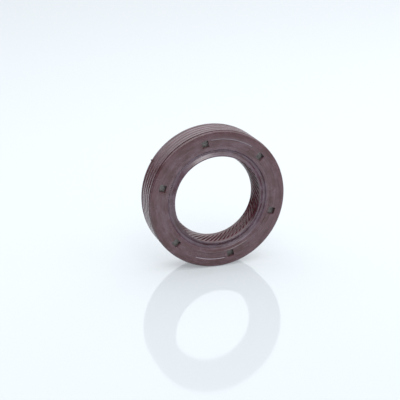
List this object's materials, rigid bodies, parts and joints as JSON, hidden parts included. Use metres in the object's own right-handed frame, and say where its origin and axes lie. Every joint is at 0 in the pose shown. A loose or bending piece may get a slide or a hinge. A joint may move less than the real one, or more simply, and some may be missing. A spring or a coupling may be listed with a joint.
{
  "type": "rotary shaft oil seal",
  "caption": "Rotary shaft oil seal: ribbed rubber outside over a steel case, a spring-loaded lip with pumping ribs, and a dust lip on the air side.",
  "frame": {"origin": "on the seal's axis, in the plane of its oil side, which it lies on", "axes": "+Z along the seal's axis, from the oil side to the air side; +X towards the picture's right across the air side, +Y towards its top"},
  "size_m": [0.0354, 0.0354, 0.008],
  "materials": {
    "rubber": "brown moulded fluoro rubber, satin",
    "case_steel": "pressed sheet steel, dull grey-green bonding coat",
    "spring_steel": "bright spring wire"
  },
  "bodies": {
    "root": {"rubber_body": "rubber", "metal_case": "case_steel", "garter_spring": "spring_steel"}
  },
  "joints": []
}
